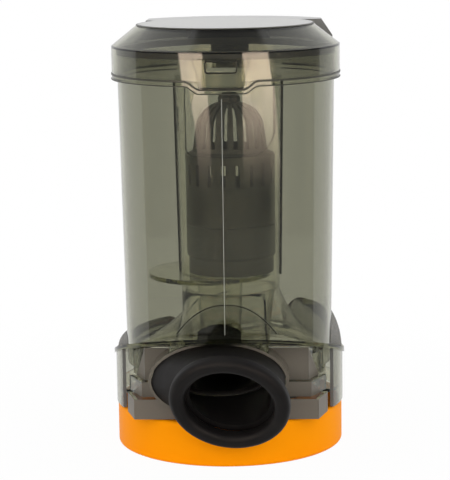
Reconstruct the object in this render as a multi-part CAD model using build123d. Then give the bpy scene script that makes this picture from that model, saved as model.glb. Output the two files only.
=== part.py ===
from build123d import *
import os
from math import asin, cos, degrees, hypot, radians, sin

# Cyclone dust bin, millimetres. Origin at the centre of the underside, +Z up,
# air inlet towards -Y, lid hinge towards +Y.

# Clearances
fit_gap = 0.3
run_gap = 0.4
pin_gap = 0.05
press_gap = 0.1

# Filter base: a double-walled cap that twists onto the bin
base_overhang = 5.9
base_height = 24.2
base_wall = 2.3
base_floor = 2.2
base_shoulder = 2.4
base_edge_round = 1.6
neck_inset = 13.8
neck_wall = 1.8
neck_rise = 6.4
lug_count = 3
lug_span = 22.0
lug_thick = 1.8
outlet_count = 18
outlet_width = 2.6
outlet_inner = 14.0
outlet_outer = 43.0
base_rib_count = 12
base_rib_thick = 1.6

# Bin body: tapered clear wall, arched flange and skirt
body_radius = 59.4
body_radius_level = 58.0
body_taper = 0.0155
body_wall = 2.0
body_foot = 48.0
body_top = 226.0
rim_overhang = 5.6
rim_top = 214.4
rim_thick = 2.6
flange_lip = 1.0
flange_side_level = 51.5
flange_front_level = 72.0
flange_thick = 2.4
flange_bend = 60.0
skirt_overhang = 6.6
skirt_wall = 2.0
skirt_opening_half = 66.0
gusset_tops = {-1: 63.0, 1: 75.0}
gusset_rounds = {-1: 8.0, 1: 14.0}
gusset_start = 92.0
gusset_span = 55.0
seam_width = 0.9
seam_rise = 0.35
boss_radius = 3.4
boss_inset = 6.0
boss_angles = (28.0, 90.0, 152.0)

# Lid, its latch tab and hinge
lid_wall = 1.8
lid_shoulder_level = 230.4
lid_top = 242.5
lid_cone_run = 15.3
hood_proud = 1.4
hood_insets_low = {-1: 9.5, 1: 2.5}
hood_insets_top = {-1: 18.0, 1: 10.5}
hood_low = 231.0
hood_front = 26.0
seal_height = 3.7
seal_width = 3.9
tab_half_top = 17.0
tab_half_low = 11.5
tab_drop = 3.6
tab_head = 12.5
tab_proud = 2.4
window_width = 15.6
window_low = 220.0
window_high = 225.5
catch_reach = 2.2
hinge_setback = 5.5
hinge_level = 214.0
knuckle_radius = 4.0
knuckle_half = 11.5
lug_width = 4.5
pin_radius = 1.5

# Inner cyclone tube with its front window and sloping floor
tube_x = 1.2
tube_radius = 28.4
tube_radius_level = 84.0
tube_taper = 0.0172
tube_wall = 1.7
tube_top = 212.0
tube_tilt = 0.283
window_left = 23.2
window_right = 25.8
window_sill = 169.0
window_round_right = 14.0
window_round_left = 4.0
side_hole_inner = 24.9
side_hole_outer = 28.0
side_hole_low = 182.0
side_hole_high = 196.0
floor_edge_level = 57.0
floor_wall = 1.8
floor_mid_radius = 38.0
floor_mid_share = 0.46
ledge_radius = 34.0
ledge_centre = -12.0
ledge_low = 97.0
ledge_thick = 2.6

# Clean-air core and the pipe that it stands on
core_x = 1.9
core_radius = 25.6
core_wall = 1.8
core_foot = 108.6
core_foot_radius = 24.4
drum_joint = 128.0
drum_groove = 0.5
drum_top = 150.0
screen_top = 168.0
dome_radius = 21.5
dome_break_radius = 19.2
dome_break_level = 186.0
dome_top = 197.6
dome_wall = 1.8
slot_count = 20
slot_turn = 11.3
dome_slot_width = 3.3
dome_slot_tip = 1.2
screen_slot_width = 2.2
slot_margin = 2.4
cap_radius = 6.2
cap_tip_radius = 4.2
cap_height = 4.6
cap_sides = 8
spigot_radius = 22.0
spigot_rise = 6.0
spigot_wall = 1.6
pipe_radius = 13.0
pipe_centre = -5.0
pipe_wall = 1.5

# Stepped inlet cowl: level band, front plane, half width and wing end of each tier
cowl_wall = 1.6
tier_tops = (36.0, 44.5)
tier_setbacks = (5.4, 11.4, 16.4)
tier_insets = (7.9, 11.9, 13.4)
wing_insets = (2.7, 3.2, 5.4)
wing_depth = 18.0
port_x = -4.0
port_level = 47.5
port_half_width = 37.6
port_half_height = 20.6
port_wall = 1.5
port_setback = 1.4

# Inlet duct, rubber boot and gasket ring
duct_half_width = 30.0
duct_half_height = 13.0
duct_level = 50.5
duct_setback = 6.9
duct_wall = 1.6
duct_bend_y = -20.0
duct_bend_level = 65.0
duct_bend_width = 26.0
duct_bend_height = 27.5
duct_top = 90.0
boot_root = 8.0
boot_wall = 4.4
gasket_radius = 33.2
gasket_bore = 24.3
gasket_thick = 8.6
gasket_round = 3.4
gasket_x = 2.9
gasket_reach = 27.2
gasket_level = 41.0
gasket_drop = 30.7
gasket_turn = -6.5
boot_neck_bore = 22.0

# Filter plate and the filter stack in the base
plate_thick = 2.0
plate_level = 33.0
collar_wall = 2.0
screw_radius = 1.5
screw_head_radius = 2.8
screw_head = 2.2
screw_length = 11.0
frame_height = 13.5
frame_wall = 2.2
pleat_pitch = 5.2
pleat_thick = 2.4
gasket_ring_height = 1.6
foam_height = 7.0

# Radii and places that follow the bin body
base_radius = body_radius + base_overhang
neck_radius = base_radius - neck_inset
skirt_radius = body_radius + skirt_overhang
flange_radius = skirt_radius + flange_lip
rim_radius = body_radius + rim_overhang
lid_radius = rim_radius
lid_flat_radius = lid_radius - lid_cone_run
hood_radius = lid_radius + hood_proud
hinge_y = lid_radius + hinge_setback
boss_circle = skirt_radius - boss_inset
tier_fronts = [setback - body_radius for setback in tier_setbacks]
tier_halves = [body_radius - inset for inset in tier_insets]
wing_halves = [body_radius - inset for inset in wing_insets]
port_front = port_setback - body_radius
duct_front = duct_setback - body_radius
gasket_y = -base_radius - gasket_reach


def turned(*points):
    """Solid turned about the vertical axis from (radius, level) points."""
    return revolve(Plane.XZ * make_face(Polyline(*points, close=True)), Axis.Z)


def ring(inner, outer, low, high):
    """Plain ring between two radii and two levels."""
    return turned((inner, low), (outer, low), (outer, high), (inner, high))


def disc(radius, low, high, x=0.0):
    """Plain disc between two levels, its centre at x."""
    return Pos(x, 0, (low + high) / 2) * Cylinder(radius, high - low)


def sector(inner, outer, low, high, middle, span):
    """Part of a ring, its middle at an angle counted from +X."""
    middle_radius = (inner + outer) / 2
    face = Plane.XZ * Pos(middle_radius, (low + high) / 2) * Rectangle(outer - inner, high - low)
    return Rot(0, 0, middle - span / 2) * revolve(face, Axis.Z, revolution_arc=span)


def front_prism(outline, back, front):
    """Prism along Y from an outline drawn in X and Z."""
    return extrude(Plane.XZ.offset(-back) * outline, back - front)


def body_outer(level):
    """Outer radius of the tapered bin wall."""
    return body_radius + (level - body_radius_level) * body_taper


def tube_outer(level):
    """Outer radius of the tapered cyclone tube."""
    return tube_radius + (level - tube_radius_level) * tube_taper


def flange_region(low, high):
    """Band that follows the arched flange, between two offsets from its middle."""
    rise = flange_front_level - flange_side_level
    reach = 1.5 * flange_radius
    slope = rise / flange_radius
    points = [
        (-reach, flange_side_level + slope * reach + high),
        (0, flange_side_level + high),
        (reach, flange_side_level + high),
        (reach, flange_side_level + low),
        (0, flange_side_level + low),
        (-reach, flange_side_level + slope * reach + low),
    ]
    upper = FilletPolyline(*points[:3], radius=flange_bend)
    lower = FilletPolyline(*points[3:], radius=flange_bend)
    outline = make_face(upper + Line(points[2], points[3]) + lower + Line(points[5], points[0]))
    return extrude(Plane.YZ * outline, reach, both=True)


def under_flange(gap):
    """Everything below the flange's underside."""
    return flange_region(-2 * flange_front_level, -flange_thick / 2 - gap)


# Duct: lofted from the oval port up and back into the foot of the cyclone tube
def duct_form(grow):
    """Duct solid, its sections grown outwards by a distance."""
    mouth = Plane((port_x, duct_front, duct_level), x_dir=(1, 0, 0), z_dir=(0, 1, 0))
    bend = Plane((port_x / 2, duct_bend_y, duct_bend_level), x_dir=(1, 0, 0), z_dir=(0, 1, 1))
    top = Plane((tube_x, 0, duct_top), x_dir=(1, 0, 0), z_dir=(0, 0, 1))
    exit_radius = tube_outer(duct_top) - tube_wall - 2 * fit_gap - duct_wall
    return loft([
        mouth * Ellipse(duct_half_width - duct_wall + grow, duct_half_height - duct_wall + grow),
        bend * Ellipse(duct_bend_width - duct_wall + grow, duct_bend_height - duct_wall + grow),
        top * Circle(exit_radius + grow),
    ])


duct_outer = duct_form(duct_wall)
duct_clear = duct_form(duct_wall + fit_gap)
pipe_clear = disc(pipe_radius + fit_gap, 0, ledge_low, pipe_centre)
inlet_duct = duct_outer - duct_form(0) - pipe_clear

# Bin body
wall_solid = turned(
    (body_outer(body_foot) - body_wall, body_foot),
    (body_outer(body_foot), body_foot),
    (body_outer(body_top), body_top),
    (body_outer(body_top) - body_wall, body_top),
)
front_cut = sector(body_radius / 2, flange_radius + 1, 0, body_top, -90, 2 * skirt_opening_half)
front_cut &= under_flange(0)
skirt_foot = base_height + run_gap
skirt = ring(skirt_radius - skirt_wall, skirt_radius, skirt_foot, flange_front_level)
skirt = skirt & under_flange(-flange_thick / 2)
inner_reach = tier_fronts[2] + cowl_wall
flange_plan = ring(body_radius - body_wall / 2, flange_radius, 0, body_top)
front_plan = disc(flange_radius, 0, body_top)
front_plan &= Pos(0, inner_reach - flange_radius / 2, body_top / 2) * Box(
    2 * flange_radius, flange_radius, body_top)
flange = (flange_plan + front_plan) & flange_region(-flange_thick / 2, flange_thick / 2)


def gusset(side):
    """Flared shoulder between the wall and the flange, on one side of the back."""
    low = flange_side_level
    gusset_top = gusset_tops[side]
    root = body_radius - body_wall / 2
    tip = flange_radius - flange_thick / 2
    top_radius = body_outer(gusset_top)
    bulge_radius = (tip + top_radius) / 2 + body_wall
    bulge_level = (low + gusset_top) / 2 + body_wall
    bulge = (bulge_radius - body_wall / 2, bulge_level)
    outer_line = ThreePointArc((tip, low), bulge, (top_radius, gusset_top))
    edges = Line((root, low), (tip, low)) + outer_line + Line((top_radius, gusset_top), (root, gusset_top))
    outline = make_face(edges + Line((root, gusset_top), (root, low)))
    middle = -90 + side * (gusset_start + gusset_span / 2)
    swept = revolve(Plane.XZ * outline, Axis.Z, revolution_arc=gusset_span)
    shoulder = Rot(0, 0, middle - gusset_span / 2) * swept
    width = 2 * root * sin(radians(gusset_span / 2))
    height = 2 * (gusset_top - low)
    arch_outline = Pos(0, low) * RectangleRounded(width, height, gusset_rounds[side])
    arch = extrude(Plane.YZ * arch_outline, 2 * flange_radius)
    return shoulder & (Rot(0, 0, middle) * arch)


def tab_outline(grow, top):
    """Front view of the latch tab, grown outwards by a distance."""
    low = rim_top - tab_drop - grow
    return make_face(Polyline(
        (-tab_half_low - grow, low),
        (tab_half_low + grow, low),
        (tab_half_top + grow, top),
        (-tab_half_top - grow, top),
        close=True,
    ))


tab_outer = lid_radius + tab_proud
rim_ring = ring(body_outer(rim_top) - body_wall / 2, rim_radius, rim_top - rim_thick, rim_top)
rim_slot = tab_outline(run_gap, rim_top + tab_head)
rim_cut = front_prism(rim_slot, -body_radius / 2, -flange_radius - tab_proud)
rim_cut &= ring(body_outer(rim_top), flange_radius + tab_proud, 0, body_top)
dip_outline = tab_outline(rim_thick + run_gap, rim_top)
rim_dip = front_prism(dip_outline, -body_radius / 2, -flange_radius - tab_proud)
rim_dip &= ring(body_outer(rim_top) - body_wall / 2, rim_radius, 0, rim_top)
catch_face = body_outer(window_low) + catch_reach
catch_outline = make_face(Polyline(
    (body_outer(window_low) - body_wall / 2, window_low + fit_gap),
    (body_outer(window_low) + body_wall / 4, window_low + fit_gap),
    (catch_face, window_low + catch_reach),
    (catch_face, window_high - fit_gap),
    (body_outer(window_low) - body_wall / 2, window_high - fit_gap),
    close=True,
))
catch_half = window_width / 2 - run_gap
catch = extrude(Plane.YZ * mirror(catch_outline, Plane.YZ), catch_half, both=True)
hinge_lugs = Part()
for side in (-1, 1):
    lug_x = side * (knuckle_half + run_gap + lug_width / 2)
    knuckle = Pos(lug_x, hinge_y, hinge_level) * Rot(0, 90, 0) * Cylinder(knuckle_radius, lug_width)
    web_root = body_outer(rim_top) - body_wall
    web = Pos(lug_x, (web_root + hinge_y) / 2, hinge_level - knuckle_radius / 2) * Box(
        lug_width, hinge_y - web_root, knuckle_radius)
    hinge_lugs += knuckle + web
seam_outline = make_face(Polyline(
    (body_outer(flange_front_level) - body_wall / 2, flange_front_level),
    (body_outer(flange_front_level) + seam_rise, flange_front_level),
    (body_outer(rim_top - tab_drop) + seam_rise, rim_top - tab_drop - rim_thick),
    (body_outer(rim_top - tab_drop) - body_wall / 2, rim_top - tab_drop - rim_thick),
    close=True,
))
seam_span = degrees(seam_width / body_radius)
seam = Rot(0, 0, -90 - seam_span / 2) * revolve(Plane.XZ * seam_outline, Axis.Z, revolution_arc=seam_span)
bosses = Part()
boss_holes = Part()
boss_foot = plate_level + plate_thick + fit_gap
for angle in boss_angles:
    place = Rot(0, 0, angle) * Pos(boss_circle, 0, 0)
    bosses += place * disc(boss_radius, boss_foot, flange_side_level)
    boss_holes += place * disc(screw_radius + press_gap, 0, plate_level + screw_length + fit_gap)

bin_body = wall_solid + skirt - front_cut
bin_body += flange + gusset(1) + gusset(-1)
bin_body += rim_ring + rim_dip
bin_body -= rim_cut
bin_body += catch + hinge_lugs + seam + bosses
bin_body -= boss_holes
pin_hole = Cylinder(pin_radius + press_gap, 4 * knuckle_half)
bin_body -= Pos(0, hinge_y, hinge_level) * Rot(0, 90, 0) * pin_hole
bin_body -= duct_clear

# Cyclone tube: window open to the top, floor sloping from the tube to the bin wall
tube_plane = Plane((tube_x, 0, tube_radius_level), x_dir=(1, 0, tube_tilt), z_dir=(-tube_tilt, 0, 1))
stretch = hypot(1, tube_tilt)
tube_low = tube_radius_level - 2 * tube_tilt * tube_radius
tube = Pos(tube_x, 0, 0) * turned(
    (0, tube_low),
    (tube_outer(tube_low), tube_low),
    (tube_outer(tube_top), tube_top),
    (0, tube_top),
)
tube_bore = Pos(tube_x, 0, 0) * turned(
    (0, 0),
    (tube_outer(0) - tube_wall, 0),
    (tube_outer(2 * tube_top) - tube_wall, 2 * tube_top),
    (0, 2 * tube_top),
)
tube &= tube_plane * Pos(0, 0, tube_top / 2 - floor_wall / 2) * Box(2 * tube_top, 2 * tube_top, tube_top)
window_height = 2 * (tube_top - window_sill)
window_middle_x = tube_x + (window_right - window_left) / 2
window_outline = Pos(window_middle_x, window_sill + window_height / 2) * Rectangle(
    window_left + window_right, window_height)
sill_corners = window_outline.vertices().group_by(Axis.Y)[0].sort_by(Axis.X)
window_outline = fillet(sill_corners[1], window_round_right).face()
left_corner = window_outline.vertices().group_by(Axis.Y)[0].sort_by(Axis.X)[0]
window_outline = fillet(left_corner, window_round_left).face()
window_cut = front_prism(window_outline, 0, -2 * tube_radius)
side_hole_x = tube_x - (side_hole_inner + side_hole_outer) / 2
side_hole_outline = Pos(side_hole_x, (side_hole_low + side_hole_high) / 2) * Rectangle(
    side_hole_outer - side_hole_inner, side_hole_high - side_hole_low)
window_cut += front_prism(side_hole_outline, 0, -2 * tube_radius)

mid_level = floor_edge_level + floor_mid_share * (tube_radius_level - floor_edge_level)
mid_tilt = floor_mid_share * tube_tilt * tube_radius / floor_mid_radius
mid_plane = Plane((0, 0, mid_level), x_dir=(1, 0, mid_tilt), z_dir=(-mid_tilt, 0, 1))
floor_neck = tube_radius - tube_wall / 2
floor_form = loft([
    Plane((0, 0, floor_edge_level)) * Circle(body_outer(floor_edge_level) - body_wall - fit_gap),
    mid_plane * Circle(floor_mid_radius),
    tube_plane * Ellipse(floor_neck * stretch, floor_neck),
])
dust_floor = floor_form - Pos(0, 0, -floor_wall) * floor_form
dust_floor -= Pos(0, inner_reach + fit_gap - 2 * flange_radius, 0) * Box(
    8 * flange_radius, 4 * flange_radius, 8 * flange_radius)
ledge = disc(ledge_radius, ledge_low, ledge_low + ledge_thick, ledge_centre)
cyclone_tube = tube + dust_floor + ledge - tube_bore - window_cut - duct_clear

# Outlet pipe with the plate and spigot that carry the core
pipe_foot = plate_level + plate_thick + fit_gap
seat_radius = tube_outer(ledge_low) - tube_wall - fit_gap
seat_top = ledge_low + ledge_thick
outlet_pipe = disc(pipe_radius, pipe_foot, ledge_low + 1, pipe_centre)
outlet_pipe += disc(ledge_radius, ledge_low, seat_top, ledge_centre) & disc(seat_radius, 0, tube_top, tube_x)
outlet_pipe += disc(spigot_radius, ledge_low, seat_top + spigot_rise, core_x)
outlet_pipe -= disc(spigot_radius - spigot_wall, seat_top, tube_top, core_x)
outlet_pipe -= disc(pipe_radius - pipe_wall, 0, tube_top, pipe_centre)

# Core: drum, slotted screen and dome, grip cap
drum_bore = core_radius - core_wall
core_drum = turned(
    (core_foot_radius - core_wall / 2, seat_top + run_gap),
    (core_foot_radius, seat_top + run_gap),
    (core_foot_radius, core_foot),
    (core_radius, core_foot + core_wall),
    (core_radius, drum_joint - drum_groove),
    (core_radius - drum_groove, drum_joint),
    (core_radius, drum_joint + drum_groove),
    (core_radius, drum_top),
    (drum_bore, drum_top),
    (drum_bore, core_foot + core_wall),
    (core_foot_radius - core_wall / 2, core_foot),
)
screen_foot = drum_top + press_gap
screen_edges = Polyline(
    (core_radius - core_wall, screen_foot),
    (core_radius, screen_foot),
    (core_radius, screen_top),
    (dome_radius, screen_top + core_wall),
    (dome_break_radius, dome_break_level),
)
inner_top = dome_top - dome_wall
stem_hole = cap_radius / 2
crown_run = dome_break_radius - stem_hole
crown_rise = dome_top - dome_break_level
crown_radius = (crown_run ** 2 + crown_rise ** 2) / (2 * crown_rise)
crown_start = degrees(asin((crown_rise - crown_radius) / crown_radius))


def crown_point(inset, share):
    """Point on the dome's round crown, from its foot (0) to its top (1)."""
    angle = radians(-crown_start + share * (90 + crown_start))
    reach = crown_radius - inset
    return (stem_hole + reach * cos(angle), dome_top - crown_radius + reach * sin(angle))


crown = ThreePointArc(crown_point(0, 0), crown_point(0, 0.5), crown_point(0, 1))
inner_crown = ThreePointArc(*(crown_point(dome_wall, share) for share in (1, 0.5, 0)))
inner_edges = Polyline(
    crown_point(dome_wall, 0),
    (dome_radius - dome_wall, screen_top),
    (core_radius - core_wall, screen_top - core_wall),
    (core_radius - core_wall, screen_foot),
)
stem_edge = Line(crown_point(0, 1), crown_point(dome_wall, 1))
grille_outline = make_face(screen_edges + crown + stem_edge + inner_crown + inner_edges)
core_grille = revolve(Plane.XZ * grille_outline, Axis.Z)
dome_low = screen_top + core_wall + slot_margin
slot_start = cap_radius + slot_margin
slot_plan = make_face(Polyline(
    (slot_start, -dome_slot_tip / 2),
    (core_radius, -dome_slot_width / 2),
    (core_radius, dome_slot_width / 2),
    (slot_start, dome_slot_tip / 2),
    close=True,
))
dome_slot = Pos(0, 0, dome_low) * extrude(slot_plan, 2 * (dome_top - dome_low))
screen_slot_low = screen_foot + slot_margin / 2
screen_slot_high = screen_top - core_wall - slot_margin
screen_slot = Box(2 * core_wall + slot_margin, screen_slot_width, screen_slot_high - screen_slot_low)
for place in PolarLocations(0, slot_count, start_angle=slot_turn):
    core_grille -= place * dome_slot
for place in PolarLocations(core_radius, slot_count, start_angle=slot_turn):
    core_grille -= Pos(0, 0, (screen_slot_low + screen_slot_high) / 2) * place * screen_slot
cap_stem = stem_hole - press_gap
cap_foot = dome_top + press_gap
core_cap = loft([
    Plane((0, 0, cap_foot)) * RegularPolygon(cap_radius, cap_sides),
    Plane((0, 0, cap_foot + cap_height / 2)) * RegularPolygon(cap_radius, cap_sides),
    Plane((0, 0, cap_foot + cap_height)) * RegularPolygon(cap_tip_radius, cap_sides),
], ruled=True)
core_cap += disc(cap_stem, inner_top - dome_wall, cap_foot)
seal_bore = spigot_radius + run_gap
core_seal_radius = core_foot_radius - core_wall / 2 - press_gap
core_seal = ring(seal_bore, core_seal_radius, seat_top + 2 * run_gap, seat_top + spigot_rise / 2)

# Lid: shallow cone with a flat top, latch tab in front and hinge hood behind
lid_foot = rim_top + run_gap
cone_slope = (lid_top - lid_shoulder_level) / (lid_radius - lid_flat_radius)
lid = turned(
    (lid_radius - lid_wall, lid_foot),
    (lid_radius, lid_foot),
    (lid_radius, lid_shoulder_level),
    (lid_flat_radius, lid_top),
    (0, lid_top),
    (0, lid_top - lid_wall),
    (lid_flat_radius - lid_wall / 2, lid_top - lid_wall),
    (lid_radius - lid_wall, lid_shoulder_level - lid_wall / 2),
)


def hood_form(inset):
    """Raised hinge hood over the back of the lid, drawn inwards by a distance."""
    outline = make_face(Polyline(
        (hood_insets_low[-1] - lid_radius + inset, hood_low),
        (lid_radius - hood_insets_low[1] - inset, hood_low),
        (lid_radius - hood_insets_top[1] - inset, lid_top - inset),
        (hood_insets_top[-1] - lid_radius + inset, lid_top - inset),
        close=True,
    ))
    prism = extrude(Plane.XZ.offset(-hood_front - inset) * outline, -hood_radius)
    return prism & disc(hood_radius - inset, 0, 2 * lid_top)


lid_room = turned(
    (0, lid_foot),
    (lid_radius - lid_wall, lid_foot),
    (lid_radius - lid_wall, lid_shoulder_level - lid_wall / 2),
    (lid_flat_radius - lid_wall / 2, lid_top - lid_wall),
    (0, lid_top - lid_wall),
)
lid = lid + hood_form(0) - hood_form(lid_wall) - lid_room
tab_top = rim_top + tab_head
tab = front_prism(tab_outline(0, tab_top), -body_radius / 2, -flange_radius - tab_proud)
tab &= ring(lid_radius - lid_wall, tab_outer, 0, lid_top)
lid += tab
pocket_radius = catch_face + 2 * run_gap
pocket_outline = Pos(0, window_high / 2) * Rectangle(window_width + 2 * run_gap, window_high)
pocket = front_prism(pocket_outline, 0, -pocket_radius)
pocket &= disc(pocket_radius, 0, lid_top)
window_middle = (window_low + window_high) / 2
lid_window_outline = Pos(0, window_middle) * Rectangle(window_width, window_high - window_low)
lid_window = front_prism(lid_window_outline, 0, -2 * lid_radius)
lid = lid - pocket - lid_window
lid_knuckle = Pos(0, hinge_y, hinge_level) * Rot(0, 90, 0) * Cylinder(knuckle_radius, 2 * knuckle_half)
arm_low = hinge_level + knuckle_radius / 4
arm_front = lid_radius - lid_wall / 2
arm = Pos(0, (arm_front + hinge_y + knuckle_radius) / 2, (arm_low + hood_low) / 2) * Box(
    2 * knuckle_half, hinge_y + knuckle_radius - arm_front, hood_low - arm_low)
arm_slope = make_face(Polyline(
    (hinge_y + knuckle_radius, hinge_level + knuckle_radius),
    (hinge_y + 2 * knuckle_radius, hinge_level + knuckle_radius),
    (hinge_y + 2 * knuckle_radius, hood_low + 1),
    (hood_radius, hood_low + 1),
    close=True,
))
arm -= extrude(Plane.YZ * arm_slope, 2 * knuckle_half, both=True)
lid += lid_knuckle + arm
lid -= Pos(0, hinge_y, hinge_level) * Rot(0, 90, 0) * Cylinder(pin_radius + pin_gap, 4 * knuckle_half)
seal_low = body_top + fit_gap
seal_rise = seal_low + seal_height + lid_wall / 2 - lid_shoulder_level
seal_outer = lid_radius - lid_wall - seal_rise / cone_slope - fit_gap
lid_seal = ring(seal_outer - seal_width, seal_outer, seal_low, seal_low + seal_height)
pin_half = knuckle_half + run_gap + lug_width
hinge_pin = Pos(0, hinge_y, hinge_level) * Rot(0, 90, 0) * Cylinder(pin_radius, 2 * pin_half)

# Stepped cowl with swept-back wings round the oval port
filter_room = disc(neck_radius + 2 * run_gap, 0, plate_level + plate_thick + fit_gap)
cowl_foot = base_height + run_gap
cowl_head = flange_front_level


def tier(index, inset, depth):
    """One tier of the cowl, drawn inwards by a distance."""
    low = cowl_foot - (1 if inset else 0) if index == 0 else tier_tops[index - 1] - inset
    high = tier_tops[index] - inset if index < len(tier_tops) else cowl_head
    front = tier_fronts[index] + inset
    outline = make_face(Polyline(
        (-tier_halves[index] + inset, front),
        (tier_halves[index] - inset, front),
        (wing_halves[index] - inset, tier_fronts[index] + depth),
        (-wing_halves[index] + inset, tier_fronts[index] + depth),
        close=True,
    ))
    return Pos(0, 0, low) * extrude(outline, high - low)


inlet_cowl = Part()
cowl_hollow = Part()
for index in range(len(tier_fronts)):
    inlet_cowl += tier(index, 0, wing_depth)
    cowl_hollow += tier(index, cowl_wall, wing_depth + cowl_wall)
inlet_cowl -= cowl_hollow
port_outline = Pos(port_x, port_level) * Ellipse(port_half_width + port_wall, port_half_height + port_wall)
port_bore = Pos(port_x, port_level) * Ellipse(port_half_width, port_half_height)
inlet_cowl += front_prism(port_outline, tier_fronts[2] + cowl_wall, port_front)
inlet_cowl -= front_prism(port_bore, 0, 2 * port_front)
inlet_cowl &= under_flange(fit_gap)
inlet_cowl = inlet_cowl - duct_clear - filter_room

# Rubber boot from the oval port to the round gasket, which looks down and out
turn = radians(gasket_turn)
drop = radians(gasket_drop)
look = (sin(turn) * cos(drop), -cos(turn) * cos(drop), -sin(drop))
face_plane = Plane((gasket_x, gasket_y, gasket_level), x_dir=(cos(turn), sin(turn), 0), z_dir=look)
gasket_outline = Pos((gasket_bore + gasket_radius) / 2, -gasket_thick / 2) * RectangleRounded(
    gasket_radius - gasket_bore, gasket_thick, gasket_round)
inlet_gasket = face_plane * revolve(Plane.XZ * gasket_outline, Axis.Z)
neck_plane = face_plane.offset(-gasket_thick - press_gap)
root_plane = Plane((port_x, port_front, port_level), x_dir=(1, 0, 0), z_dir=(0, -1, 0))
root_width = port_half_width - fit_gap
root_height = port_half_height - fit_gap
neck_radius_outer = boot_neck_bore + boot_wall
inlet_boot = loft([root_plane * Ellipse(root_width, root_height), neck_plane * Circle(neck_radius_outer)])
boot_root_outline = Pos(port_x, port_level) * Ellipse(root_width, root_height)
inlet_boot += front_prism(boot_root_outline, port_front + boot_root, port_front)
duct_join = Plane((port_x, duct_front, duct_level), x_dir=(1, 0, 0), z_dir=(0, -1, 0))
inlet_boot -= loft([
    duct_join * Ellipse(duct_half_width + fit_gap, duct_half_height + fit_gap),
    neck_plane.offset(1) * Circle(boot_neck_bore),
])
inlet_boot &= under_flange(fit_gap)
inlet_boot -= disc(base_radius + 2 * run_gap, 0, base_height + 2 * run_gap)
inlet_boot = inlet_boot - duct_clear - filter_room

# Filter plate with the collar that the base twists onto, and its screws
neck_bore = neck_radius - neck_wall
collar_radius = neck_bore - lug_thick - run_gap
neck_top = base_height + neck_rise
ledge_top = neck_top - lug_thick - 2 * run_gap
filter_plate = disc(skirt_radius - skirt_wall - fit_gap, plate_level, plate_level + plate_thick)
plate_front = tier_fronts[2] + wing_depth - cowl_wall
filter_plate &= Pos(0, plate_front / 2 + flange_radius, plate_level) * Box(
    2 * flange_radius, 2 * flange_radius - plate_front, 4 * plate_thick)
filter_plate += disc(neck_radius, plate_level, plate_level + plate_thick)
collar_foot = ledge_top - lug_thick
filter_plate += ring(collar_radius - collar_wall, collar_radius, collar_foot, plate_level)
for step in range(lug_count):
    lug_angle = 90 + step * 360 / lug_count
    plate_lug = sector(collar_radius - 1, neck_bore - run_gap, collar_foot, ledge_top, lug_angle, lug_span)
    filter_plate += plate_lug
filter_plate -= disc(pipe_radius - pipe_wall, 0, body_top, pipe_centre)
screw_place = [Rot(0, 0, angle) * Pos(boss_circle, 0, 0) for angle in boss_angles]
plate_screws = Part()
for place in screw_place:
    filter_plate -= place * disc(screw_radius + press_gap, 0, body_top)
    head = place * disc(screw_head_radius, plate_level - screw_head, plate_level)
    plate_screws += head + place * disc(screw_radius, plate_level - screw_head, plate_level + screw_length)
filter_plate -= duct_clear

# Filter base
inner_wall = base_radius - base_wall
filter_base = turned(
    (0, 0),
    (neck_radius, 0),
    (neck_radius, base_height - base_shoulder),
    (inner_wall, base_height - base_shoulder),
    (inner_wall, 0),
    (base_radius, 0),
    (base_radius, base_height),
    (neck_radius, base_height),
    (neck_radius, neck_top),
    (neck_bore, neck_top),
    (neck_bore, base_floor),
    (0, base_floor),
)
round_edges = filter_base.edges().filter_by(GeomType.CIRCLE)
foot_edge = round_edges.filter_by(lambda edge: abs(edge.radius - base_radius) < 0.01)
filter_base = fillet(foot_edge, base_edge_round)
for step in range(lug_count):
    lug_angle = 90 + step * 360 / lug_count
    lug_low = neck_top - lug_thick
    filter_base += sector(neck_bore - lug_thick, neck_bore + 1, lug_low, neck_top, lug_angle, lug_span)
outlet_reach = outlet_outer - outlet_inner
for place in PolarLocations((outlet_inner + outlet_outer) / 2, outlet_count):
    filter_base -= place * Box(outlet_reach, outlet_width, 4 * base_floor)
trough = inner_wall - neck_radius
rib_height = base_height - base_shoulder - base_edge_round
for place in PolarLocations(neck_radius + trough / 2, base_rib_count):
    rib = Box(trough + base_wall, base_rib_thick, rib_height)
    filter_base += Pos(0, 0, base_edge_round + rib_height / 2) * place * rib

# Filter stack in the base: framed pleats, sealing ring and foam
stack_radius = neck_bore - lug_thick - run_gap
frame_foot = base_floor + press_gap
frame_top = frame_foot + frame_height
filter_frame = ring(stack_radius - frame_wall, stack_radius, frame_foot, frame_top)
pleat_radius = stack_radius - frame_wall - press_gap
pleat_low = frame_foot + press_gap
pleat_high = frame_top - press_gap
pleat_steps = 2 * int(pleat_radius // pleat_pitch) + 1
zigzag = []
for step in range(-pleat_steps, pleat_steps + 1):
    zigzag.append((step * pleat_pitch / 2, pleat_low if step % 2 else pleat_high - pleat_thick))
pleat_tops = [(x, z + pleat_thick) for x, z in reversed(zigzag)]
pleat_outline = make_face(Polyline(*zigzag, *pleat_tops, close=True))
pleat_pack = extrude(Plane.XZ * pleat_outline, pleat_radius, both=True) & disc(pleat_radius, 0, frame_top)
filter_seal_low = frame_top + press_gap
filter_seal = ring(stack_radius - frame_wall, stack_radius, filter_seal_low, frame_top + gasket_ring_height)
foam_low = frame_top + gasket_ring_height + press_gap
foam_filter = disc(collar_radius - collar_wall - run_gap, foam_low, foam_low + foam_height)
base_seal = ring(neck_bore + press_gap, neck_radius - press_gap, neck_top, plate_level - run_gap)

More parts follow.
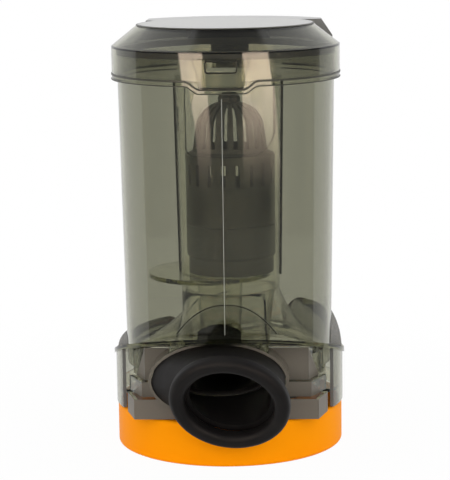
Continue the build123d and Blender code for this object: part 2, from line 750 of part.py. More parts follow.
pieces = {
    "filter_base": filter_base,
    "base_seal": base_seal,
    "filter_frame": filter_frame,
    "pleat_pack": pleat_pack,
    "filter_seal": filter_seal,
    "foam_filter": foam_filter,
    "bin_body": bin_body,
    "filter_plate": filter_plate,
    "plate_screws": plate_screws,
    "inlet_cowl": inlet_cowl,
    "inlet_boot": inlet_boot,
    "inlet_gasket": inlet_gasket,
    "inlet_duct": inlet_duct,
    "cyclone_tube": cyclone_tube,
    "outlet_pipe": outlet_pipe,
    "core_drum": Pos(core_x, 0, 0) * core_drum,
    "core_grille": Pos(core_x, 0, 0) * core_grille,
    "core_cap": Pos(core_x, 0, 0) * core_cap,
    "core_seal": Pos(core_x, 0, 0) * core_seal,
    "lid": lid,
    "lid_seal": lid_seal,
    "hinge_pin": hinge_pin,
}
os.makedirs("parts", exist_ok=True)
for name, piece in pieces.items():
    export_step(piece, f"parts/{name}.step")
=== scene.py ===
"""Cyclone dust bin of a vacuum cleaner: finishes, fine pieces, studio and camera.

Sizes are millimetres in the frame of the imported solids: the origin lies at the centre of the
underside, +Z is up and the air inlet looks towards -Y. Angles in fields are degrees, and an angle
round the bin's axis counts from the front towards +X.
"""

import logging
import math
from dataclasses import dataclass, field
from enum import Enum
from typing import NamedTuple

import bpy
import numpy as np
from mathutils import Euler, Matrix, Vector


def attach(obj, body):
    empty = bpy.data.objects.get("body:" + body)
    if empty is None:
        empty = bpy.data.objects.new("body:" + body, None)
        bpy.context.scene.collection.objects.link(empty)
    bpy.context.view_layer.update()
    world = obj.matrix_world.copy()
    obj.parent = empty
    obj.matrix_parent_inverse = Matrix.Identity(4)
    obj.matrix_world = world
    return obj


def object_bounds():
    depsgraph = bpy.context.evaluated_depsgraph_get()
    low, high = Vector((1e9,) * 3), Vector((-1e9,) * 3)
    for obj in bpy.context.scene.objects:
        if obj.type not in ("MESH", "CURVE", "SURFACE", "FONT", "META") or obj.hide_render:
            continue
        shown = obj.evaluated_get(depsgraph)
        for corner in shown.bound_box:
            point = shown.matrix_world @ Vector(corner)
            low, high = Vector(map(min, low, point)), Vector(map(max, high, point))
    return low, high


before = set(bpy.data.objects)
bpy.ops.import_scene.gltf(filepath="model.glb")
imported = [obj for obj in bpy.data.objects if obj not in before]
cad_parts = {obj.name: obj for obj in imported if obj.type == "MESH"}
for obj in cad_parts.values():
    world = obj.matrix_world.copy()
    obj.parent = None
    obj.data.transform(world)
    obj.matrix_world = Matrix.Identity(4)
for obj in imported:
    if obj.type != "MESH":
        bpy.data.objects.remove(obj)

LOG = logging.getLogger("dust_bin")
CAD_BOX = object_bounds()
MM = 0.001
PHOTO_WIDTH = 450
PHOTO_HEIGHT = 480
SHARP_ANGLE = 40
BEAD_SIDES = 12
TINY = 1e-9
# Places of the sockets of a Mix node for colours.
MIX_SHARE, MIX_FIRST, MIX_SECOND, MIX_RESULT = 0, 6, 7, 2

Span = tuple[float, float]
Colour = tuple[float, float, float, float]
Tree = bpy.types.NodeTree
Socket = bpy.types.NodeSocket


class Slot(Enum):
    """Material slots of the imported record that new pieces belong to."""

    SMOKED = "smoked_plastic"
    RUBBER = "black_rubber"


class Body(Enum):
    """Bodies that new pieces ride on."""

    BIN = "bin"
    LID = "lid"


def linear(hex_colour: str) -> Colour:
    """Turns an sRGB hex colour into linear light.

    Args:
        hex_colour: six hex digits, such as "FF9612".

    Returns:
        Linear red, green, blue and an alpha of 1.
    """
    shares = [int(hex_colour[start:start + 2], 16) / 255 for start in (0, 2, 4)]
    lights = [s / 12.92 if s <= 0.04045 else ((s + 0.055) / 1.055) ** 2.4 for s in shares]
    return (*lights, 1.0)


def per_mm(size: float) -> float:
    """Gives the scale of a texture on Object coordinates.

    Args:
        size: size of one pattern cell in millimetres.

    Returns:
        Texture scale, in cells per metre.
    """
    return 1.0 / (size * MM)


def add_node(tree: Tree, kind: str, feeds: dict | None = None, **settings) -> bpy.types.Node:
    """Adds a shader node with its settings and links.

    Args:
        tree: node tree that takes the node.
        kind: node type without its ShaderNode prefix.
        feeds: input name or index to a value or to the output socket that feeds it.
        settings: properties of the node itself.

    Returns:
        The new node.
    """
    node = tree.nodes.new("ShaderNode" + kind)
    for name, value in settings.items():
        setattr(node, name, value)
    for name, value in (feeds or {}).items():
        if isinstance(value, Socket):
            tree.links.new(value, node.inputs[name])
        else:
            node.inputs[name].default_value = value
    return node


def combine(tree: Tree, operation: str, *values: Socket | float) -> Socket:
    """Works out a number from one or two others.

    Args:
        tree: node tree that takes the node.
        operation: operation of the Math node.
        values: what it works on.

    Returns:
        Socket of the result.
    """
    return add_node(tree, "Math", dict(enumerate(values)), operation=operation).outputs[0]


def spread(tree: Tree, value: Socket, start: Span, end: Span, smooth: bool = False) -> Socket:
    """Maps a value from one span to another and holds it at the ends.

    Args:
        tree: node tree that takes the node.
        value: value to map.
        start: span that the value runs through.
        end: span that the result runs through.
        smooth: whether the ends are eased.

    Returns:
        Socket of the result.
    """
    return add_node(tree, "MapRange", {
        "Value": value, "From Min": start[0], "From Max": start[1],
        "To Min": end[0], "To Max": end[1],
    }, interpolation_type="SMOOTHSTEP" if smooth else "LINEAR").outputs["Result"]


def choose(tree: Tree, share: Socket, first: Socket | Colour, second: Socket | Colour) -> Socket:
    """Mixes two colours.

    Args:
        tree: node tree that takes the node.
        share: share of the second colour.
        first: colour at a share of 0.
        second: colour at a share of 1.

    Returns:
        Socket of the mixed colour.
    """
    feeds = {MIX_SHARE: share, MIX_FIRST: first, MIX_SECOND: second}
    return add_node(tree, "Mix", feeds, data_type="RGBA").outputs[MIX_RESULT]


def noise(tree: Tree, place: Socket, size: float, detail: float) -> Socket:
    """Adds a noise pattern.

    Args:
        tree: node tree that takes the node.
        place: coordinates of the pattern.
        size: size of its cells in millimetres.
        detail: number of finer layers.

    Returns:
        Socket of the pattern's value.
    """
    feeds = {"Vector": place, "Scale": per_mm(size), "Detail": detail}
    return add_node(tree, "TexNoise", feeds).outputs["Fac"]


def relief(tree: Tree, height: Socket, depth: float) -> Socket:
    """Turns a pattern into fine relief.

    Args:
        tree: node tree that takes the node.
        height: value of the pattern.
        depth: depth of the relief in millimetres.

    Returns:
        Socket of the leaning normal.
    """
    feeds = {"Height": height, "Distance": depth * MM, "Strength": 1.0}
    return add_node(tree, "Bump", feeds).outputs["Normal"]


def tone(tree: Tree, factor: Socket, stops: Span, first: str, second: str) -> Socket:
    """Runs between two colours along a factor.

    Args:
        tree: node tree that takes the node.
        factor: factor that the colour follows.
        stops: factors at which the two colours are reached.
        first: hex colour at the first stop.
        second: hex colour at the second stop.

    Returns:
        Socket of the colour.
    """
    node = add_node(tree, "ValToRGB", {"Fac": factor})
    for element, stop, colour in zip(node.color_ramp.elements, stops, (first, second)):
        element.position = stop
        element.color = linear(colour)
    return node.outputs["Color"]


def new_material(name: str) -> tuple[bpy.types.Material, Tree, Socket]:
    """Makes an empty node material.

    Args:
        name: name of the finish.

    Returns:
        The material, its node tree and the socket of its Object coordinates.
    """
    material = bpy.data.materials.new(name)
    material.use_nodes = True
    tree = material.node_tree
    tree.nodes.clear()
    return material, tree, add_node(tree, "TexCoord").outputs["Object"]


@dataclass(frozen=True)
class ClearPlastic:
    """Injection-moulded clear styrene plastic with a smoke tint, polished.

    The eye sees sharp reflections, a tint that deepens with the length of plastic that light
    crosses, so edges and limbs turn dark, and faint smears of handling.
    """

    name: str
    skin_tint: str
    depth_tint: str
    tint_depth: float
    ior: float = 1.5
    roughness: float = 0.015
    smear_roughness: float = 0.05
    smear_size: float = 28.0
    smear_detail: float = 5.0
    smear_span: Span = (0.45, 0.8)
    ripple_size: float = 34.0
    ripple_detail: float = 1.0
    ripple_depth: float = 0.008

    def absorption(self) -> tuple[float, Colour]:
        """Works out the volume that tints white light over the tint's depth.

        Returns:
            Density per metre and colour of the absorbing volume.
        """
        shares = linear(self.depth_tint)[:3]
        losses = [-math.log(share) / (self.tint_depth * MM) for share in shares]
        density = max(losses)
        return density, (*(1 - loss / density for loss in losses), 1.0)

    def make(self) -> bpy.types.Material:
        """Builds the node material.

        Returns:
            The new material.
        """
        material, tree, place = new_material(self.name)
        smear = noise(tree, place, self.smear_size, self.smear_detail)
        ripple = noise(tree, place, self.ripple_size, self.ripple_detail)
        glosses = (self.roughness, self.smear_roughness)
        shader = add_node(tree, "BsdfPrincipled", {
            "Base Color": linear(self.skin_tint), "IOR": self.ior, "Transmission Weight": 1.0,
            "Roughness": spread(tree, smear, self.smear_span, glosses),
            "Normal": relief(tree, ripple, self.ripple_depth),
        })
        density, colour = self.absorption()
        depth = add_node(tree, "VolumeAbsorption", {"Color": colour, "Density": density})
        add_node(tree, "OutputMaterial", {
            "Surface": shader.outputs["BSDF"], "Volume": depth.outputs["Volume"]})
        return material


@dataclass(frozen=True)
class SatinPlastic:
    """Moulded ABS with a fine spark-eroded grain.

    The eye sees an even colour with a soft sheen, a grain that breaks up highlights and slight
    shifts of tone from the melt's flow. A thin skin of it may let light through.
    """

    name: str
    colour: str
    deep_colour: str
    roughness: float
    roughness_shifts: Span = (-0.04, 0.05)
    grain_size: float = 0.9
    grain_detail: float = 2.0
    grain_depth: float = 0.015
    flow_size: float = 45.0
    flow_detail: float = 3.0
    flow_span: Span = (0.3, 0.7)
    specular: float = 0.5
    opacity: float = 1.0

    def make(self) -> bpy.types.Material:
        """Builds the node material.

        Returns:
            The new material.
        """
        material, tree, place = new_material(self.name)
        flow = noise(tree, place, self.flow_size, self.flow_detail)
        grain = noise(tree, place, self.grain_size, self.grain_detail)
        glosses = tuple(self.roughness + shift for shift in self.roughness_shifts)
        shader = add_node(tree, "BsdfPrincipled", {
            "Base Color": tone(tree, flow, self.flow_span, self.deep_colour, self.colour),
            "Roughness": spread(tree, flow, self.flow_span, glosses),
            "Specular IOR Level": self.specular, "Alpha": self.opacity,
            "Normal": relief(tree, grain, self.grain_depth),
        })
        add_node(tree, "OutputMaterial", {"Surface": shader.outputs["BSDF"]})
        return material


@dataclass(frozen=True)
class MouldedRubber:
    """Moulded nitrile rubber.

    The eye sees a deep matte tone with a broad dull sheen and a trace of pale dust.
    """

    name: str
    colour: str
    dust_colour: str
    roughness: float = 0.5
    roughness_shifts: Span = (-0.05, 0.15)
    specular: float = 0.25
    grain_size: float = 0.8
    grain_detail: float = 2.0
    grain_depth: float = 0.02
    dust_size: float = 16.0
    dust_detail: float = 6.0
    dust_tone_span: Span = (0.45, 0.8)
    dust_gloss_span: Span = (0.3, 0.8)

    def make(self) -> bpy.types.Material:
        """Builds the node material.

        Returns:
            The new material.
        """
        material, tree, place = new_material(self.name)
        dust = noise(tree, place, self.dust_size, self.dust_detail)
        grain = noise(tree, place, self.grain_size, self.grain_detail)
        glosses = tuple(self.roughness + shift for shift in self.roughness_shifts)
        shader = add_node(tree, "BsdfPrincipled", {
            "Base Color": tone(tree, dust, self.dust_tone_span, self.colour, self.dust_colour),
            "Roughness": spread(tree, dust, self.dust_gloss_span, glosses),
            "Specular IOR Level": self.specular,
            "Normal": relief(tree, grain, self.grain_depth),
        })
        add_node(tree, "OutputMaterial", {"Surface": shader.outputs["BSDF"]})
        return material


@dataclass(frozen=True)
class FilterFibre:
    """Pressed filter fibre or open foam.

    The eye sees a matte, uneven surface of fibres or open cells.
    """

    name: str
    colour: str
    deep_colour: str
    cell_size: float
    cell_depth: float
    cell_span: Span = (0.1, 0.6)
    roughness: float = 0.9

    def make(self) -> bpy.types.Material:
        """Builds the node material.

        Returns:
            The new material.
        """
        material, tree, place = new_material(self.name)
        feeds = {"Vector": place, "Scale": per_mm(self.cell_size)}
        cells = add_node(tree, "TexVoronoi", feeds).outputs["Distance"]
        shader = add_node(tree, "BsdfPrincipled", {
            "Base Color": tone(tree, cells, self.cell_span, self.deep_colour, self.colour),
            "Roughness": self.roughness, "Normal": relief(tree, cells, self.cell_depth),
        })
        add_node(tree, "OutputMaterial", {"Surface": shader.outputs["BSDF"]})
        return material


@dataclass(frozen=True)
class PlatedSteel:
    """Zinc-plated steel, drawn and tumbled.

    The eye sees a bright grey metal with fine scratches.
    """

    name: str
    colour: str
    roughness: float = 0.3
    roughness_shifts: Span = (-0.1, 0.15)
    scratch_size: float = 0.5
    scratch_detail: float = 3.0

    def make(self) -> bpy.types.Material:
        """Builds the node material.

        Returns:
            The new material.
        """
        material, tree, place = new_material(self.name)
        scratch = noise(tree, place, self.scratch_size, self.scratch_detail)
        glosses = tuple(self.roughness + shift for shift in self.roughness_shifts)
        shader = add_node(tree, "BsdfPrincipled", {
            "Base Color": linear(self.colour), "Metallic": 1.0,
            "Roughness": spread(tree, scratch, (0.0, 1.0), glosses),
        })
        add_node(tree, "OutputMaterial", {"Surface": shader.outputs["BSDF"]})
        return material


class Finish(Enum):
    """Finishes of the bin's pieces."""

    WALL = ClearPlastic("smoked_wall_plastic", "BDBDB4", "F4F4EF", 2.0)
    LID = ClearPlastic("smoked_lid_plastic", "CECEC6", "F4F4EF", 2.0)
    INNER = ClearPlastic("smoked_inner_plastic", "FDFDFA", "FAFAF6", 1.7)
    PIPE = ClearPlastic("clear_pipe_plastic", "FBFBF8", "FAFAF6", 1.6)
    ORANGE = SatinPlastic("orange_abs", "FF9A03", "FB9502", 0.42, specular=0.03)
    DARK = SatinPlastic("dark_grey_abs", "858583", "7B7B79", 0.4)
    CAP = SatinPlastic("cap_grey_abs", "5A5A58", "525250", 0.4)
    # Painted shade: a dark finish for beads that darken the edges, gaps and sides of the clear
    # pieces, where light leaves them dark.
    EDGE = SatinPlastic("painted_edge_shade_plastic", "3F3E35", "37362E", 0.35)
    # Painted highlight: a pale finish for the bright line along the wall's weld ridge.
    WELD = SatinPlastic("weld_ridge_painted_highlight", "B8B8B0", "AEAEA6", 0.3)
    COWL = SatinPlastic("frosted_cowl_plastic", "756E63", "6D665B", 0.4, opacity=0.8)
    END = SatinPlastic("frosted_end_plastic", "7C7B77", "72716D", 0.45)
    FROST = SatinPlastic("frosted_smoke_plastic", "D0CECA", "C8C6C2", 0.45, opacity=0.3)
    # Painted shade: a half-clear dark sheet that darkens the lid's cone.
    LID_PAINTED_SHADE = SatinPlastic("lid_painted_shade_plastic", "3F3E35", "37362E", 0.4, opacity=0.4)
    DOME = SatinPlastic("light_haze_plastic", "4A4940", "424138", 0.4, opacity=0.15)
    RUBBER = MouldedRubber("black_rubber_moulded", "121010", "1C1A19")
    SEAL = MouldedRubber("grey_rubber_moulded", "5A5954", "605F5A")
    PAPER = FilterFibre("pleated_filter_fibre", "E6E2D6", "CFC9BA", 0.8, 0.1)
    FOAM = FilterFibre("open_cell_foam", "5A5A58", "2C2C2B", 1.4, 0.5)
    STEEL = PlatedSteel("plated_steel", "C9C9C6")


@dataclass
class Paint:
    """Makes each finish's material once and hands it out."""

    made: dict[Finish, bpy.types.Material] = field(default_factory=dict)

    def material(self, finish: Finish) -> bpy.types.Material:
        """Finds a finish's material, which is made at its first use.

        Args:
            finish: finish that is asked for.

        Returns:
            The finish's material.
        """
        if finish not in self.made:
            self.made[finish] = finish.value.make()
        return self.made[finish]

    def dress(self, piece: bpy.types.Object, finish: Finish) -> None:
        """Gives a piece one finish all over.

        Args:
            piece: piece to dress.
            finish: finish that it wears.
        """
        piece.data.materials.clear()
        piece.data.materials.append(self.material(finish))


@dataclass
class BinDress:
    """Finishes of the CAD nodes, which show as they are."""

    finishes: dict[str, Finish] = field(default_factory=lambda: {
        "filter_base": Finish.ORANGE, "base_seal": Finish.RUBBER, "filter_frame": Finish.DARK,
        "pleat_pack": Finish.PAPER, "filter_seal": Finish.RUBBER, "foam_filter": Finish.FOAM,
        "bin_body": Finish.WALL, "filter_plate": Finish.INNER, "plate_screws": Finish.STEEL,
        "inlet_cowl": Finish.WALL, "inlet_boot": Finish.RUBBER, "inlet_gasket": Finish.RUBBER,
        "inlet_duct": Finish.INNER, "cyclone_tube": Finish.INNER, "outlet_pipe": Finish.PIPE,
        "core_drum": Finish.DARK, "core_grille": Finish.DARK, "core_cap": Finish.CAP,
        "core_seal": Finish.RUBBER, "lid": Finish.LID, "lid_seal": Finish.SEAL,
        "hinge_pin": Finish.STEEL,
    })

    def dress(self, paint: Paint) -> None:
        """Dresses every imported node.

        Args:
            paint: source of the materials.
        """
        for node, finish in self.finishes.items():
            paint.dress(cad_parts[node], finish)
            LOG.info("%s wears %s", node, finish.value.name)


@dataclass(frozen=True)
class Taper:
    """Cone about an upright axis: its radius at the foot, its growth upwards and the foot's Z."""

    radius: float
    growth: float
    foot: float

    def at(self, level: np.ndarray) -> np.ndarray:
        """Gives the cone's radius.

        Args:
            level: Z of each place.

        Returns:
            Radius at each place.
        """
        return self.radius + self.growth * (level - self.foot)


WALL_TAPER = Taper(59.4, 0.0155, 58.0)
TUBE_TAPER = Taper(28.4, 0.0172, 84.0)
LID_TAPER = Taper(65.0, -1.2645, 230.4)


def new_object(name: str, data: bpy.types.ID) -> bpy.types.Object:
    """Puts new data into the scene, at the origin.

    Args:
        name: name of the object.
        data: mesh, light or camera.

    Returns:
        The new object.
    """
    thing = bpy.data.objects.new(name, data)
    bpy.context.scene.collection.objects.link(thing)
    return thing


def triangles_of(mesh: bpy.types.Mesh) -> tuple[np.ndarray, np.ndarray, np.ndarray]:
    """Reads a mesh as triangles.

    Args:
        mesh: mesh to read.

    Returns:
        Corner points in millimetres, corner numbers of each triangle and each triangle's normal.
    """
    mesh.calc_loop_triangles()
    corners = np.empty(len(mesh.vertices) * 3)
    mesh.vertices.foreach_get("co", corners)
    triangles = np.empty(len(mesh.loop_triangles) * 3, dtype=np.int32)
    mesh.loop_triangles.foreach_get("vertices", triangles)
    normals = np.empty(len(mesh.loop_triangles) * 3)
    mesh.loop_triangles.foreach_get("normal", normals)
    return corners.reshape(-1, 3) / MM, triangles.reshape(-1, 3), normals.reshape(-1, 3)


def loft(name: str, rings: np.ndarray, closed: bool = False) -> bpy.types.Object:
    """Skins closed section rings into a solid piece.

    Args:
        name: name of the piece.
        rings: points of each ring, shaped (rings, points, 3), in millimetres.
        closed: whether the last ring runs back into the first.

    Returns:
        The new object, with its normals outwards.
    """
    count, width = rings.shape[:2]
    index = np.arange(count * width).reshape(count, width)
    start = index if closed else index[:-1]
    follow = np.roll(index, -1, axis=0) if closed else index[1:]
    quads = np.stack(
        [start, np.roll(start, -1, axis=1), np.roll(follow, -1, axis=1), follow], axis=-1)
    faces = quads.reshape(-1, 4).tolist()
    if not closed:
        faces += [index[0, ::-1].tolist(), index[-1].tolist()]
    mesh = bpy.data.meshes.new(name)
    mesh.from_pydata(rings.reshape(-1, 3) * MM, [], faces)
    corners, triangles, _ = triangles_of(mesh)
    first, second, third = (corners[triangles[:, side]] for side in range(3))
    if np.einsum("ij,ij->", first, np.cross(second, third)) < 0:
        mesh.flip_normals()
    mesh.shade_smooth()
    mesh.set_sharp_from_angle(angle=math.radians(SHARP_ANGLE))
    return new_object(name, mesh)


def bead(name: str, path: np.ndarray, outward: np.ndarray, halves: Span,
         closed: bool = False) -> bpy.types.Object:
    """Runs an elliptical section along a path as a solid piece.

    Args:
        name: name of the piece.
        path: points of the path in millimetres.
        outward: unit vector at each point that points away from the surface below.
        halves: half of the section's size along outward, and across outward and the path.
        closed: whether the path closes.

    Returns:
        The new object.
    """
    if closed:
        step = np.roll(path, -1, axis=0) - np.roll(path, 1, axis=0)
    else:
        step = np.gradient(path, axis=0)
    side = np.cross(step, outward)
    side /= np.linalg.norm(side, axis=1, keepdims=True)
    angle = np.linspace(0, 2 * np.pi, BEAD_SIDES, endpoint=False)[None, :, None]
    rings = (path[:, None] + halves[0] * np.cos(angle) * outward[:, None]
             + halves[1] * np.sin(angle) * side[:, None])
    return loft(name, rings, closed)


def around(angle: np.ndarray) -> np.ndarray:
    """Looks away from the bin's axis.

    Args:
        angle: angles round the axis in radians.

    Returns:
        Level unit vector at each angle.
    """
    return np.stack([np.sin(angle), -np.cos(angle), np.zeros_like(angle)], axis=-1)


def on_cylinder(angle: np.ndarray, radius: float,
                height: np.ndarray | float) -> tuple[np.ndarray, np.ndarray]:
    """Lays a line onto an upright cylinder about the bin's axis.

    Args:
        angle: angle of each point round the axis, in radians.
        radius: radius of the cylinder.
        height: Z of the points.

    Returns:
        The points and their unit outward vectors.
    """
    outward = around(angle)
    points = outward * radius
    points[:, 2] = height
    return points, outward


@dataclass
class Details:
    """Keeps what every group of fine pieces needs to hand a piece over."""

    paint: Paint

    def place(self, piece: bpy.types.Object, finish: Finish, body: Body,
              slot: Slot = Slot.SMOKED) -> None:
        """Gives a fine piece its finish and its body.

        Args:
            piece: new piece, built in place.
            finish: finish it wears.
            body: body that it rides on.
            slot: material slot of the record; not used.
        """
        self.paint.dress(piece, finish)
        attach(piece, body.value)
        LOG.info("%s rides on %s", piece.name, body.value)


class RimLine(NamedTuple):
    """Line round the rim that dips under the latch.

    The dip is as wide as the first of its half widths at the bottom, the second at the top.
    """

    name: str
    level: float
    dip_level: float
    half_high: float
    dip_halves: Span


@dataclass
class RimLines(Details):
    """Beads of painted shade round the rim: a painted shadow in the gap under the lid and painted
    shade along the rim's lower edge.
    """

    radius: float = 65.2
    half_out: float = 0.14
    half_angle: float = 150.0
    steps: int = 720
    rounding: int = 5
    lines: tuple[RimLine, ...] = (
        RimLine("rim_gap_painted_shadow", 214.75, 210.3, 0.55, (13.6, 18.6)),
        RimLine("rim_low_painted_edge_shade", 212.0, 208.0, 0.32, (14.6, 17.9)),
    )

    def build(self) -> None:
        """Builds the two lines, which dip under the latch in rounded bends."""
        half = math.radians(self.half_angle)
        angle = np.linspace(-half, half, self.steps)
        across = np.where(np.cos(angle) > 0, np.abs(np.sin(angle)) * self.radius, self.radius)
        window = np.full(2 * self.rounding + 1, 1 / (2 * self.rounding + 1))
        for line in self.lines:
            height = np.interp(across, line.dip_halves, (line.dip_level, line.level))
            height = np.pad(height, self.rounding, mode="edge")
            height = np.convolve(height, window, mode="valid")
            path, outward = on_cylinder(angle, self.radius, height)
            halves = (self.half_out, line.half_high)
            # Each line is a dark bead of painted shade on the rim.
            self.place(bead(line.name, path, outward, halves), Finish.EDGE, Body.BIN)


@dataclass
class LidLines(Details):
    """Edges of the lid and its latch drawn as dark beads of painted shade, and sheets of painted
    shade inside the lid's cone.

    The tab's line holds places across the front and their Z, the pad's line radii and their Z.
    """

    edge_radius: float = 49.3
    edge_level: float = 242.0
    edge_halves: Span = (1.5, 0.46)
    edge_steps: int = 360
    latch_radius: float = 67.0
    latch_halves: Span = (0.4, 0.4)
    tab_line: tuple[Span, ...] = ((-11.9, 212.0), (-11.6, 211.3), (11.6, 211.3), (11.9, 212.0))
    tab_steps: int = 360
    window_half: float = 8.5
    window_levels: Span = (219.5, 226.0)
    window_round: float = 1.5
    window_steps: int = 8
    pad_line: tuple[Span, Span] = ((61.4, 230.5), (51.2, 238.5))
    pad_thick: float = 0.8
    pad_half: float = 24.0
    pad_steps: int = 48
    painted_shade_half: float = 90.0

    def top_edge(self) -> None:
        """Builds a dark bead of painted shade at the edge of the lid's flat top."""
        angle = np.linspace(0, 2 * np.pi, self.edge_steps, endpoint=False)
        path, outward = on_cylinder(angle, self.edge_radius, self.edge_level)
        edge = bead("lid_top_edge", path, outward, self.edge_halves, closed=True)
        self.place(edge, Finish.EDGE, Body.LID)

    def latch_tab(self) -> None:
        """Builds a dark bead of painted shade along the lower edge of the latch tab."""
        across, height = np.array(self.tab_line).T
        reach = np.concatenate([[0], np.cumsum(np.hypot(np.diff(across), np.diff(height)))])
        along = np.linspace(0, reach[-1], self.tab_steps)
        angle = np.arcsin(np.interp(along, reach, across) / self.latch_radius)
        path, outward = on_cylinder(angle, self.latch_radius, np.interp(along, reach, height))
        self.place(bead("latch_tab_edge", path, outward, self.latch_halves), Finish.EDGE, Body.LID)

    def latch_window(self) -> None:
        """Builds a dark frame of painted shade round the latch window, with its four round
        corners.
        """
        half, (foot, head) = self.window_half - self.window_round, self.window_levels
        foot, head = foot + self.window_round, head - self.window_round
        turn = np.arange(4)[:, None] * np.pi / 2 + np.linspace(0, np.pi / 2, self.window_steps)
        across = np.array([half, -half, -half, half])[:, None] + self.window_round * np.cos(turn)
        height = np.array([head, head, foot, foot])[:, None] + self.window_round * np.sin(turn)
        angle = np.arcsin(across.ravel() / self.latch_radius)
        path, outward = on_cylinder(angle, self.latch_radius, height.ravel())
        line = bead("latch_window_frame", path, outward, self.latch_halves, closed=True)
        self.place(line, Finish.EDGE, Body.LID)

    def cone_pads(self) -> None:
        """Builds the painted shade inside the cone: an opaque black sheet at the back and a
        half-clear dark sheet at both sides of it.
        """
        line = np.array(self.pad_line)
        slope = line[1] - line[0]
        inward = np.array([-slope[1], slope[0]]) / np.linalg.norm(slope) * self.pad_thick
        radius, level = np.concatenate([line, (line + inward)[::-1]]).T
        # Sheets of painted shade that darken the light coming through the cone; the back one wears
        # the black rubber finish.
        for name, start, end, finish, slot in (
            ("lid_back_painted_shade", -self.pad_half, self.pad_half, Finish.RUBBER, Slot.RUBBER),
            ("lid_painted_shade_left", self.pad_half, self.painted_shade_half, Finish.LID_PAINTED_SHADE, Slot.SMOKED),
            ("lid_painted_shade_right", -self.painted_shade_half, -self.pad_half, Finish.LID_PAINTED_SHADE, Slot.SMOKED),
        ):
            angle = np.radians(90 + np.linspace(start, end, self.pad_steps))[:, None]
            rings = np.stack(np.broadcast_arrays(
                np.cos(angle) * radius, np.sin(angle) * radius, level), axis=-1)
            self.place(loft(name, rings), finish, Body.LID, slot)

    def build(self) -> None:
        """Builds the lines and the pads."""
        self.top_edge()
        self.latch_tab()
        self.latch_window()
        self.cone_pads()


class Oval(NamedTuple):
    """Section of the air duct: its place along Y, then its middle and half-size in X and in Z."""

    place: float
    middle: float
    half_wide: float
    level: float
    half_high: float


class ArchTop(NamedTuple):
    """Top of the air duct at its mouth: its place along Y, its level and its sag to the sides."""

    place: float
    level: float
    sag: float


@dataclass
class InletLining(Details):
    """Black rubber lining low in the air duct, with a back wall that turns the air upwards."""

    ovals: tuple[Oval, ...] = (
        Oval(-53.2, -3.9, 29.0, 50.4, 13.4),
        Oval(-52.0, -4.0, 28.2, 50.7, 12.2),
        Oval(-48.0, -3.8, 27.0, 54.35, 16.05),
        Oval(-45.0, -3.7, 26.0, 56.5, 18.6),
        Oval(-42.0, -3.5, 25.7, 58.4, 20.8),
        Oval(-39.0, -3.25, 25.0, 59.95, 22.65),
        Oval(-36.0, -3.1, 24.8, 61.25, 24.05),
        Oval(-32.0, -2.85, 24.8, 62.55, 25.35),
        Oval(-28.0, -2.6, 24.6, 63.4, 26.0),
        Oval(-24.0, -2.35, 24.6, 64.0, 26.1),
        Oval(-20.0, -2.0, 24.4, 65.0, 26.3),
        Oval(-16.0, -1.75, 24.1, 65.8, 26.05),
    )
    inset: float = 0.8
    thick: float = 0.8
    edge_level: float = 60.0
    edge_limit: float = 0.95
    steps: int = 48
    arch_tops: tuple[ArchTop, ...] = (
        ArchTop(-51.5, 64.0, 1.3), ArchTop(-48.0, 70.4, 2.4),
        ArchTop(-45.0, 75.1, 2.8), ArchTop(-43.0, 77.9, 3.0),
    )
    arch_inset: float = 1.2
    arch_middle: float = -3.7
    arch_half: float = 12.0
    sag_at: float = 10.0

    def arc(self, oval: Oval, inset: float) -> np.ndarray:
        """Gives the part of an oval below the lining's edge.

        Args:
            oval: section of the duct.
            inset: how far inside the oval the line runs.

        Returns:
            Points from the left edge round the bottom to the right edge.
        """
        wide, high = oval.half_wide - inset, oval.half_high - inset
        lift = np.clip((self.edge_level - oval.level) / high, -self.edge_limit, self.edge_limit)
        edge = np.arcsin(lift)
        angle = np.linspace(np.pi - edge, 2 * np.pi + edge, self.steps)
        return np.stack([
            oval.middle + wide * np.cos(angle), np.full(self.steps, oval.place),
            oval.level + high * np.sin(angle)], axis=1)

    def build(self) -> None:
        """Builds the gutter, its back wall and the strip under the arch."""
        deep = self.inset + self.thick
        rings = np.stack([
            np.concatenate([self.arc(oval, self.inset), self.arc(oval, deep)[::-1]])
            for oval in self.ovals])
        self.place(loft("inlet_lining", rings), Finish.RUBBER, Body.BIN, Slot.RUBBER)
        wall = self.arc(self.ovals[-1], self.inset)
        rings = np.stack([wall, wall + [0, self.thick, 0]])
        self.place(loft("inlet_lining_back", rings), Finish.RUBBER, Body.BIN, Slot.RUBBER)
        place, level, sag = np.array(self.arch_tops).T[:, :, None]
        across = np.linspace(-self.arch_half, self.arch_half, self.steps)
        height = level - self.arch_inset - sag * (across / self.sag_at) ** 2
        upper = np.stack(np.broadcast_arrays(across + self.arch_middle, place, height), axis=-1)
        rings = np.concatenate([upper, (upper - [0, 0, self.thick])[:, ::-1]], axis=1)
        self.place(loft("inlet_lining_arch", rings), Finish.RUBBER, Body.BIN, Slot.RUBBER)


